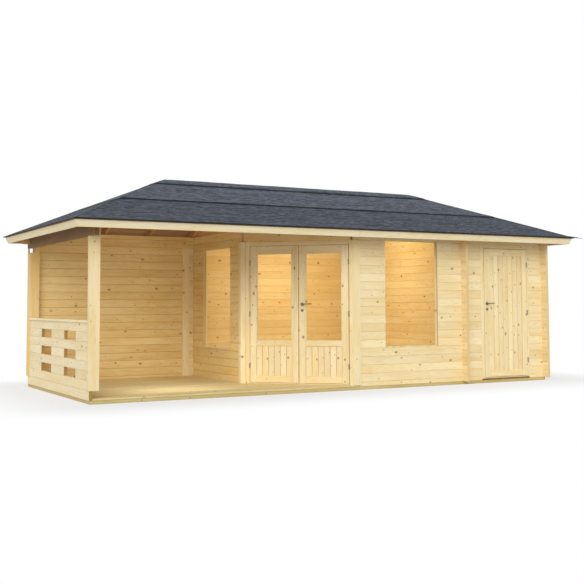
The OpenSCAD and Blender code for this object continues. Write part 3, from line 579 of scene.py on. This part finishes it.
# finishes on the solids that stay
finishOf = {
    logsShade: ["terrace_back_wall"],
    logsShadeNorth: ["left_wall"],
    logsEast: ["back_wall", "front_wall", "front_plate", "store_front_left", "store_front_right",
               "store_front_top"],
    logsNorth: ["partition_wall", "right_wall"],
    logsCut: ["door_head_log"],
    railPaintedLightAndShade: ["left_railing"],
    platePaintedShade: ["side_plate"],
    trimUp: ["corner_trim", "front_left_post", "window_beads"],
    postPaintedShade: ["back_left_post"],
    trimEast: ["ridge_beam"],
    rafterNorth: ["rafters"],
    eaveNorth: ["railing_cap"],
    bearerWood: ["ground_bearers"],
    glassFinish: ["window_glass", "left_door_glass", "right_door_glass"],
}
for finish, names in finishOf.items():
    for name in names:
        nodes[name].data.materials.clear()
        nodes[name].data.materials.append(finish)
print("solids dressed")

# floors: boards along x, from front to back; each end follows the floor's own outline
floors = dict(board=0.1, least=0.035, gap=0.0015, cut=0.002)
gap, logT, wallIn = house["floorGap"], house["logT"], house["wallIn"]
terraceLen, cornerRun = house["terraceLen"], house["cornerRun"]
frontIn, backIn = wallIn + logT + gap, house["baseDep"] - wallIn - logT - gap
# what x and y add up to along the inner face of the cut corner's frame
cutSum = terraceLen + wallIn + cornerRun + house["frameD"] * math.sqrt(2)


def layFloor(name, node, yLow, yHigh, xStart, xEnd):
    edges = np.append(np.arange(yLow, yHigh - floors["least"], floors["board"]), yHigh)
    y0, y1 = edges[:-1] + floors["gap"], edges[1:] - floors["gap"]
    ring = cutRect(y0, y1, house["bearerTop"], house["floorTop"], floors["cut"])
    y, z = ring[..., 0], ring[..., 1]
    rings = np.stack([np.stack([end(y), y, z], -1) for end in (xStart, xEnd)], 1)
    piece = makePiece(name, rings, barFaces(rings), [floorWood], "house", "floor")
    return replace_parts(piece, node)


# a straight end: every board stops at the same x
def squareEnd(x):
    return lambda y: np.full_like(y, x)


# boards in front of the cut corner run on to its frame, the others stop at the room's wall
def terraceEnd(y):
    front = np.minimum(terraceLen + cornerRun - gap, cutSum - y)
    return np.where(y.max(-1, keepdims=True) < wallIn + cornerRun, front, terraceLen - gap)


# boards of the room start at its wall or, farther in, along the cut corner's frame
def roomStart(y):
    return np.maximum(terraceLen + logT + gap, cutSum + gap * math.sqrt(2) - y)


layFloor("terraceFloorBoards", "terrace_floor", 0.0, backIn, squareEnd(frontIn), terraceEnd)
layFloor("roomFloorBoards", "room_floor", frontIn, backIn, roomStart, squareEnd(house["partitionX"] - gap))
layFloor("storeFloorBoards", "store_floor", frontIn, backIn, squareEnd(house["partitionX"] + logT + gap),
         squareEnd(house["baseLen"] - wallIn - logT - gap))
print("floors laid")

# roof slopes: s runs up the slope from the eave, n stands off it, d is the level distance in from the eave
slopes = ("front", "back", "left", "right")
slopeTop = halfSpan / cosRoof


# level distance is s by the cosine less n by the sine; height adds s by the sine and n by the cosine
def slopePoint(s, n):
    return s * cosRoof - n * sinRoof, eaveZ + s * sinRoof + n * cosRoof


# where a slope's eave starts and ends along its run
def eaveEnds(slope):
    sides = ("eaveLeft", "eaveRight") if slope in ("front", "back") else ("eaveFront", "eaveBack")
    return [house[side] for side in sides]


# run along the eave, level distance in from it and height, to the base's axes
def onSlope(slope, run, d, z):
    eave = house["eave" + slope.capitalize()]
    inward = eave + d if slope in ("front", "left") else eave - d
    return np.stack([run, inward, z] if slope in ("front", "back") else [inward, run, z], -1)


# boards along the eave with cut edges; both ends follow the hips, where the run shortens by d
def slopeBars(s0, s1, n0, n1, cut, slope):
    ring = cutRect(s0, s1, n0, n1, cut)
    d, z = slopePoint(ring[..., 0], ring[..., 1])
    low, high = eaveEnds(slope)
    runs = (low + d + house["hair"], high - d - house["hair"])
    return np.stack([onSlope(slope, run, d, z) for run in runs], 1)


decking = dict(board=0.095, gap=0.0006, cut=0.004, set=0.006, ridgeGap=0.012, least=0.03, under=0.0005)
top = slopeTop - decking["ridgeGap"]
rows = np.append(np.arange(decking["set"], top - decking["least"], decking["board"]), top)
low, high = rows[:-1] + decking["gap"], rows[1:] - decking["gap"]
deckUnder, deckTop = -house["feltT"] - house["deckT"], -house["feltT"] - decking["under"]
rings = [slopeBars(low, high, deckUnder, deckTop, decking["cut"], slope) for slope in slopes]
parts = [(g, barFaces(g)) for g in rings]
piece = makeFromParts("roofDeckBoards", parts, [ceilingEast, ceilingNorth], "house", "boards", [0, 0, 1, 1])
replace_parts(piece, "roof_boards")
print("roof boards laid")

# fascia: a board along each eave, mitred at the corners; the front one is two lengths that butt
fascia = dict(thick=0.020, high=0.096, joint=3.80, joinGap=0.0012, cut=0.002)
low, high = deckUnder - fascia["high"], deckUnder - house["hair"]
front, *others = [slopeBars(0.0, fascia["thick"], low, high, fascia["cut"], slope) for slope in slopes]
frontLeft, frontRight = front.copy(), front.copy()
frontLeft[:, 1, :, 0] = fascia["joint"] - fascia["joinGap"]
frontRight[:, 0, :, 0] = fascia["joint"] + fascia["joinGap"]
parts = [(g, barFaces(g)) for g in (frontLeft, frontRight, *others)]
piece = makeFromParts("eaveFascia", parts, [eaveEast, eaveNorth], "house", "boards", [0, 0, 0, 1, 1])
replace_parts(piece, "fascia_boards")


# soft waves: a sine along the strip times a sine up it, and a weaker one aslant
def ripple(s, t, seed):
    (along, alongSeed), (upward, upSeed), (slantT, slantS) = felt["along"], felt["upward"], felt["slant"]
    broad = np.sin(along * t + alongSeed * seed) * np.sin(upward * s + upSeed * seed)
    return felt["wave"] * (broad + felt["slantShare"] * np.sin(slantT * t + slantS * s + seed))


# one strip: t runs from hip to hip as 0 to 1 and past them down the fold; the height off the slope is a lift
# that fades up from the lower edge, plus the waves, which are calm near that edge
def feltStrip(slope, low, high, seed, over, fold):
    t = np.concatenate([[-1.0, -0.5], np.linspace(0, 1, felt["columns"]), [1.5, 2.0]])
    s, t = np.meshgrid(np.linspace(low, high, felt["rows"]), t, indexing="ij")
    lift = over * felt["rise"] * np.clip(1 - (s - low) / felt["riseRun"], 0, 1) ** felt["risePower"]
    wave = ripple(s, t * felt["waves"], seed) * np.clip((s - low) / felt["calmRun"], felt["calmLeast"], 1)
    past = np.clip(-t, 0, 1) - np.clip(t - 1, 0, 1)
    start, end = eaveEnds(slope)
    grids = []
    for n in (0.0, -house["feltT"]):
        d, z = slopePoint(s, n + lift + wave)
        side = np.clip(d - feltEdge, 0, fold) * past
        run = start + d + np.clip(t, 0, 1) * (end - start - 2 * d) - side
        z = z - np.abs(side) * tanRoof + np.where(side == 0, 0.0, felt["foldLift"])
        grids.append(onSlope(slope, run, d, z))
    return *sheet(*grids), np.tile(s.ravel(), 2)


# loose corner of the lowest front strip: it narrows to a tip past the right hip and droops by the square of u
corner = dict(columns=12, rows=5, back=0.06, reach=0.24, wide=0.072, tip=0.004, lift=0.005, droop=0.006,
              tone=0.2)
feltEdge, feltEdgeZ = slopePoint(-house["feltOver"], 0.0)


def looseCorner():
    u, v = np.meshgrid(np.linspace(0, 1, corner["columns"]), np.linspace(0, 1, corner["rows"]), indexing="ij")
    x = house["eaveRight"] - feltEdge - corner["back"] + u * corner["reach"]
    d = feltEdge + v * (corner["wide"] * (1 - u) + corner["tip"] * u)
    z = feltEdgeZ + (d - feltEdge) * tanRoof + corner["lift"] - corner["droop"] * u ** 2
    grids = [onSlope("front", x, d, z - n) for n in (0.0, house["feltT"])]
    return *sheet(*grids), np.full(2 * u.size, felt["plainRise"])


stops = [start + felt["lap"] for start in felt["starts"][1:]] + [slopeTop]
for slope in ("left", "right", "front", "back"):
    long = slope in ("front", "back")
    fold = felt["fold" if long else "noFold"]
    strips = []
    for k, (low, stop) in enumerate(zip(felt["starts"], stops)):
        high = min(stop, slopeTop - felt["ridgeGap"])
        strips.append((*feltStrip(slope, low, high, k + 1.0, float(k > 0), fold), felt["stripTones"][k]))
    if slope == "front":
        strips.append((*looseCorner(), corner["tone"]))
    points, faces, rises, tones = zip(*strips)
    marks = {"strip": np.repeat(tones, [len(p) for p in points]), "rise": np.concatenate(rises)}
    name, finish = "feltStrips" + slope.capitalize(), feltFront if long else feltSide
    piece = makeFromParts(name, list(zip(points, faces)), [finish], "house", "felt", attributes=marks)
    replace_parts(piece, "roof_felt")

# ridge strip: bent over the ridge with a soft dip along the middle, a little waved; its ends follow the hips
ridge = dict(columns=13, rows=60, reach=0.172, levels=(0.0095, 0.005), dip=0.003, dipWide=0.2, waves=9,
             seed=4.2, tone=0.9)
u, v = np.meshgrid(np.linspace(-1, 1, ridge["columns"]), np.linspace(0, 1, ridge["rows"]), indexing="ij")
y = u * ridge["reach"]
d = halfSpan - np.abs(y)
x = house["eaveLeft"] + d + v * (house["eaveRight"] - house["eaveLeft"] - 2 * d)
dip = ridge["dip"] * np.exp(-(u / ridge["dipWide"]) ** 2)
z = eaveZ + d * tanRoof - dip + ripple(u, v * ridge["waves"], ridge["seed"])
points, faces = sheet(*(np.stack([x, house["midY"] + y, z + n / cosRoof], -1) for n in ridge["levels"]))
marks = {"strip": np.full(len(points), ridge["tone"]), "rise": np.full(len(points), felt["plainRise"])}
piece = makePiece("ridgeStrip", points, faces, [feltFront], "house", "felt", attributes=marks)
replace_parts(piece, "ridge_cap")
print("felt laid")

# door frames: jambs, stops, head and sill with cut edges
framing = dict(head=0.060, sill=0.012, stop=0.014, cut=0.003)


def doorFrame(name, node, place, start, opening, jambs, finishes):
    low, high, deep, hair = house["floorTop"], house["lintelZ"], house["frameD"], house["hair"]
    stop, sill, head = framing["stop"], low + framing["sill"], high - framing["head"]
    stopY, end = house["leafT"] + house["doorGap"], start + opening
    upright = [(start - jambs[0], start, 0, deep, low, high), (end, end + jambs[1], 0, deep, low, high),
               (start + hair, start + stop, stopY, deep, sill + hair, head - hair),
               (end - stop, end - hair, stopY, deep, sill + hair, head - hair)]
    level = [(start + hair, end - hair, 0, deep, head, high), (start + hair, end - hair, 0, deep, low, sill),
             (start + stop + hair, end - stop - hair, stopY, deep, head - stop, head - hair)]
    parts = barParts(upright, level, framing["cut"], place)
    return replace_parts(makeFromParts(name, parts, finishes, "house", "boards", [0, 1]), node)


cutEnd = logT * diag + house["hair"]  # the walls' corners take this much of each jamb
doorFrame("doubleDoorCasing", "double_door_frame", onCut, house["leftJamb"], house["doubleOpen"],
          (house["leftJamb"] - cutEnd, house["rightJamb"] - cutEnd), [doorUp, doorLevel])
doorFrame("storeDoorCasing", "store_door_frame", onStore, house["storeJamb"], house["storeOpen"],
          (house["storeJamb"], house["storeRightJamb"]), [trimUp, trimEast])

# door leaves: stiles, rails, glazing beads and tongued boards with a groove at each joint
leaf = dict(
    topRail=0.110, midRail=0.075, bottomRail=0.100, cut=0.003, stripW=0.062, stripT=0.012, meetGap=0.010,
    bead=0.012, beadIn=0.004, paneHalf=0.0045, panelH=0.430, panelT=0.018, board=0.092, boardGap=0.0002,
    groove=0.005, panelLook=dict(knots=0.85, spread=0.07, joint=0.5, jointWide=0.007),
)


def doorLeaf(label, body, place, way, start, width, finishes, glazed=False, strip=False):
    thick, stile, hair, high = house["leafT"], house["stileW"], house["hair"], house["leafH"]
    inner, outer = stile + hair, width - stile - hair
    paneTop = high - leaf["topRail"]
    panelTop = leaf["bottomRail"] + leaf["panelH"] if glazed else paneTop
    upright = [(0, stile, 0, thick, 0, high), (width - stile, width, 0, thick, 0, high)]
    level = [(inner, outer, 0, thick, 0, leaf["bottomRail"]), (inner, outer, 0, thick, paneTop, high)]
    if strip:
        upright.append((width - leaf["stripW"], width, -leaf["stripT"] - hair, -hair, 0, high))
    if glazed:
        low, bead = panelTop + leaf["midRail"], leaf["bead"]
        level.append((inner, outer, 0, thick, panelTop, low))
        outside = (leaf["beadIn"], thick / 2 - leaf["paneHalf"])
        inside = (thick / 2 + leaf["paneHalf"], thick - leaf["beadIn"])
        for y in (outside, inside):
            upright += [(inner, stile + bead, *y, low + hair, paneTop - hair),
                        (width - stile - bead, outer, *y, low + hair, paneTop - hair)]
            level += [(inner + bead, outer - bead, *y, low + hair, low + bead),
                      (inner + bead, outer - bead, *y, paneTop - bead, paneTop - hair)]

    def move(points):
        return place(points + np.array([start, 0.0, house["leafZ"]]))

    parts = barParts(upright, level, leaf["cut"], move)
    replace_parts(makeFromParts(label + "Stiles", parts, finishes, body, "boards", [0, 1]), body + "_leaf")
    clear = outer - inner
    count = round(clear / leaf["board"])
    edges = inner + np.arange(count + 1) * clear / count
    panelY = (thick - leaf["panelT"]) / 2, (thick + leaf["panelT"]) / 2
    rows = [(a + leaf["boardGap"], b - leaf["boardGap"], *panelY, leaf["bottomRail"] + hair, panelTop - hair)
            for a, b in zip(edges[:-1], edges[1:])]
    boards = bars(rows, False, leaf["groove"])
    first = float(np.dot(way, toFrame(move(np.array([inner, 0.0, 0.0])))))
    finish = makeTimber(label + "Panel", up, way, first=first, pitch=clear / count, **leaf["panelLook"])
    piece = makePiece(label + "Boards", move(boards), barFaces(boards), [finish], body, "boards")
    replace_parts(piece, body + "_panel")


doorGap, rightEdge = house["doorGap"], house["leftJamb"] + house["doubleOpen"]
doubleLeaf = (house["doubleOpen"] - leaf["meetGap"] - 2 * doorGap) / 2
double = dict(place=onCut, way=cutWay, width=doubleLeaf, finishes=[doorUp, doorLevel], glazed=True)
leaves = dict(
    leftDoor=dict(body="left_door", start=house["leftJamb"] + doorGap, strip=True, **double),
    rightDoor=dict(body="right_door", start=rightEdge - doorGap - doubleLeaf, **double),
    storeDoor=dict(body="store_door", start=house["storeJamb"] + doorGap, place=onStore, way=east,
                   width=house["storeOpen"] - 2 * doorGap, finishes=[trimUp, trimEast]),
)
for label, settings in leaves.items():
    doorLeaf(label, **settings)
print("doors hung")

# hinges: turned half barrels with a rounded tip, and a narrow plate behind each
hinge = dict(radius=0.008, high=0.038, out=0.010, inset=0.245, tip=0.004, shape=(0.55, 0.9, 1.0, 1.0, 0.9),
             steps=20, plateShort=0.001, plateCut=0.0012)
levels = house["leafZ"] + np.array([hinge["inset"], house["leafH"] / 2, house["leafH"] - hinge["inset"]])


# way is -1 for the jamb's half, which is the lower one, and 1 for the leaf's; side points from jamb to leaf
def hingeParts(place, jambX, side, way):
    radius, hair, full, tip = hinge["radius"], house["hair"], hinge["high"], hinge["tip"]
    x = jambX + side * doorGap / 2
    x0, x1 = sorted((x, x + side * way * (doorGap / 2 + radius)))
    fromTip = np.array([0.0, tip / 2, tip, full - hair, full - hair])
    found = []
    for z in levels:
        profile = np.stack([radius * np.array(hinge["shape"]), z + way * (full - fromTip)], -1)
        points, faces = turned(profile[::-way], (x, -hinge["out"], 0.0), up, hinge["steps"])
        found.append((place(points), faces))
        low, high = sorted((z + way * hair, z + way * full))
        plate = bars([(x0, x1, -hinge["out"], -hair, low + hinge["plateShort"], high - hinge["plateShort"])],
                     False, hinge["plateCut"])
        found.append((place(plate), barFaces(plate)))
    return found


sides = dict(left=(onCut, house["leftJamb"], 1), right=(onCut, rightEdge, -1),
             store=(onStore, house["storeJamb"] + house["storeOpen"], -1))
parts = [part for side in sides.values() for part in hingeParts(*side, -1)]
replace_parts(makeFromParts("jambHinges", parts, [steelFinish], "house", "steel"), "frame_hinges")
parts = hingeParts(*sides["left"], 1)
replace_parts(makeFromParts("leftDoorHinges", parts, [steelFinish], "left_door", "steel"), "left_door_hinges")

# handles: turned roses with a rounded rim, a lock rose below, and levers bent out of the spindle
handle = dict(
    z=1.222, thick=0.007, rim=((1.0, 0.0), (1.0, 0.6), (0.95, 0.9), (0.85, 1.0)), steps=40,
    rose=dict(radius=0.025, drop=0.0, core=((0.0062, 0.0), (0.0062, -0.0028))),
    lock=dict(radius=0.022, drop=0.088,
              core=((0.0095, 0.0), (0.009, 0.0012), (0.004, 0.0014), (0.0035, -0.002))),
    reach=0.046, length=0.118, bend=0.016, neckEnd=0.18, bendEnd=0.4, arch=0.006, archShare=0.8, clear=0.0006,
    radius=0.009, neckShare=0.95, taper=0.18, tipFrom=0.985, tipShare=0.7, rings=40, leverSteps=18,
    apart=1e-5, spindle=0.005, spindleRings=6, spindleSteps=20,
)


# lever: straight out along the neck, a quarter turn, then along the grip, which rises as part of a sine
def leverPart(x, face, way):
    h = handle
    a = np.linspace(0, 1, h["rings"])
    neck = np.clip(a / h["neckEnd"], 0, 1)
    turn = np.clip((a - h["neckEnd"]) / (h["bendEnd"] - h["neckEnd"]), 0, 1) * math.pi / 2
    grip = np.clip((a - h["bendEnd"]) / (1 - h["bendEnd"]), 0, 1)
    out = neck * (h["reach"] - h["bend"]) + h["bend"] * np.sin(turn)
    along = h["bend"] * (1 - np.cos(turn)) + grip * (h["length"] - h["bend"])
    height = h["z"] + h["arch"] * np.sin(h["archShare"] * math.pi * grip)
    path = np.stack([x + along, face + way * np.maximum(out, h["thick"] + h["clear"]), height], -1)
    radius = h["radius"] * np.where(a < h["neckEnd"], h["neckShare"], 1 - h["taper"] * grip)
    radius = radius * np.where(a > h["tipFrom"], h["tipShare"], 1.0)
    keep = np.append(True, np.linalg.norm(np.diff(path, axis=0), axis=1) > h["apart"])
    return tube(path[keep], radius[keep], h["leverSteps"])


def doorFurniture(label, leverBody, hinges):
    body, place = leaves[label]["body"], leaves[label]["place"]
    h, x = handle, leaves[label]["start"] + house["stileW"] / 2
    roses, levers = [], []
    for face, way in ((0.0, -1.0), (house["leafT"], 1.0)):
        for disc in (h["rose"], h["lock"]):
            rim = [(disc["radius"] * wide, h["thick"] * off) for wide, off in h["rim"]]
            core = [(radius, h["thick"] + off) for radius, off in disc["core"]]
            roses.append(turned(rim + core, (x, face, h["z"] - disc["drop"]), (0, way, 0), h["steps"]))
        levers.append(leverPart(x, face, way))
    y = np.linspace(-h["thick"], house["leafT"] + h["thick"], h["spindleRings"])
    rod = np.stack([np.full_like(y, h["spindle"]), y], -1)
    levers.append(turned(rod, (x, 0.0, h["z"]), north, h["spindleSteps"]))
    roses, levers = ([(place(points), faces) for points, faces in found] for found in (roses, levers))
    halves = hingeParts(*hinges, 1)
    finishes, numbers = [handleFinish, steelFinish], [0] * len(roses) + [1] * len(halves)
    piece = makeFromParts(label + "Fittings", roses + halves, finishes, body, "steel", numbers)
    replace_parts(piece, body + "_fittings")
    piece = makeFromParts(label + "Lever", levers, [handleFinish], leverBody, "steel", smooth=True)
    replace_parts(piece, body + "_lever")


doorFurniture("rightDoor", "right_lever", sides["right"])
doorFurniture("storeDoor", "store_lever", sides["store"])
print("hinges and handles fitted")

# screws in the front bearer: low domes, turned from a profile that is nearly a quarter ellipse
screws = dict(along=(0.70, 1.36, 2.47), z=0.023, radius=0.009, high=0.004, round=0.98, rings=7, steps=20)
lift = np.linspace(0, 1, screws["rings"])
dome = np.stack([screws["radius"] * np.sqrt(1 - screws["round"] * lift ** 2), screws["high"] * lift], -1)
parts = [turned(dome, (x, 0.0, screws["z"]), (0, -1, 0), screws["steps"]) for x in screws["along"]]
makeFromParts("bearerScrews", parts, [handleFinish], "house", "steel")
print("screws set")

# camera
scene = bpy.context.scene
lens = dict(at=(-7.490, -13.221, 1.228), turn=(93.89, 0.204, -29.0435), focal=59.50, sensor=36.0,
            shiftY=-0.092, far=300.0)
camera = bpy.data.objects.new("viewCamera", bpy.data.cameras.new("viewCamera"))
camera.data.sensor_width, camera.data.lens = lens["sensor"], lens["focal"]
camera.data.shift_y, camera.data.clip_end = lens["shiftY"], lens["far"]
camera.location = lens["at"]
camera.rotation_euler = [math.radians(v) for v in lens["turn"]]
scene.collection.objects.link(camera)
scene.camera = camera

# floor, sky and lights
studio = dict(
    floorHalf=80.0, floorTone=(0.66, 0.66, 0.66, 1), floorRough=0.95, white=(1, 1, 1, 1),
    houseHalf=(3.8, 1.55, 0.0), fadeNear=0.1, fadeFar=1.7, veil=0.6,
    sky=0.64, sun=1.85, sunTurn=(57.0, 0.0, -35.0), sunSize=50.0,
    lamps=(((4.25, 1.72, 1.65), 43.0), ((5.15, 1.3, 2.2), 11.0)), lampTone=(1.0, 0.84, 0.53), lampSize=0.35,
    fill=8.3, fillAt=(1.4, 0.4, 0.75), fillTurn=(70.0, 0.0, 0.0), fillSize=(1.2, 0.4),
)


# rays that see the white backdrop: straight from the camera, mirrored, or through a pane
def seenRays(tree):
    path = put(tree, "ShaderNodeLightPath").outputs
    bent = calc(tree, "MAXIMUM", path["Is Glossy Ray"], path["Is Transmission Ray"])
    return calc(tree, "MAXIMUM", path["Is Camera Ray"], bent)


# the floor's shadow fades to white with the distance from the house
reach = studio["floorHalf"]
corners = [(-reach, -reach, 0), (reach, -reach, 0), (reach, reach, 0), (-reach, reach, 0)]
floorMesh = bpy.data.meshes.new("paleFloor")
floorMesh.from_pydata(corners, [], [(0, 1, 2, 3)])
floorObject = bpy.data.objects.new("paleFloor", floorMesh)
scene.collection.objects.link(floorObject)
finish, tree, shader = newFinish("paleFloor")
feed(tree, shader, {"Base Color": studio["floorTone"], "Roughness": studio["floorRough"],
                    "Specular IOR Level": 0.0})
away = vectorCalc(tree, "ABSOLUTE", put(tree, "ShaderNodeTexCoord").outputs["Object"])
away = vectorCalc(tree, "SUBTRACT", away, studio["houseHalf"])
away = vectorCalc(tree, "LENGTH", vectorCalc(tree, "MAXIMUM", away, (0.0, 0.0, 0.0)))
fade = ramp(tree, away, studio["fadeNear"], studio["fadeFar"], studio["veil"], 1.0)
white = put(tree, "ShaderNodeEmission", {"Color": studio["white"], "Strength": 1.0})
mix = put(tree, "ShaderNodeMixShader", {0: calc(tree, "MULTIPLY", fade, seenRays(tree)), 1: shader.outputs[0],
                                        2: white.outputs[0]})
feed(tree, tree.nodes["Material Output"], {"Surface": mix.outputs[0]})
floorMesh.materials.append(finish)

world = bpy.data.worlds.new("softSky")
scene.world = world
world.use_nodes = True
tree = world.node_tree
strength = ramp(tree, seenRays(tree), 0.0, 1.0, studio["sky"], 1.0, smooth=False)
feed(tree, tree.nodes["Background"], {"Color": studio["white"], "Strength": strength})


def addLight(name, kind, energy, place=(0, 0, 0), turn=(0, 0, 0)):
    light = bpy.data.objects.new(name, bpy.data.lights.new(name, kind))
    light.data.energy = energy
    light.location = place
    light.rotation_euler = [math.radians(v) for v in turn]
    scene.collection.objects.link(light)
    return light


sun = addLight("softSun", "SUN", studio["sun"], turn=studio["sunTurn"])
sun.data.angle = math.radians(studio["sunSize"])
lamps = [addLight("roomLamp", "POINT", energy, toFrame(place)) for place, energy in studio["lamps"]]
for lamp in lamps:
    lamp.data.color, lamp.data.shadow_soft_size = studio["lampTone"], studio["lampSize"]
fill = addLight("terraceFill", "AREA", studio["fill"], toFrame(studio["fillAt"]), studio["fillTurn"])
fill.data.shape = "RECTANGLE"
fill.data.size, fill.data.size_y = studio["fillSize"]
for light in (*lamps, fill):
    light.visible_camera = light.visible_glossy = light.visible_transmission = False
scene.view_settings.view_transform = "Standard"
print("camera and light set")
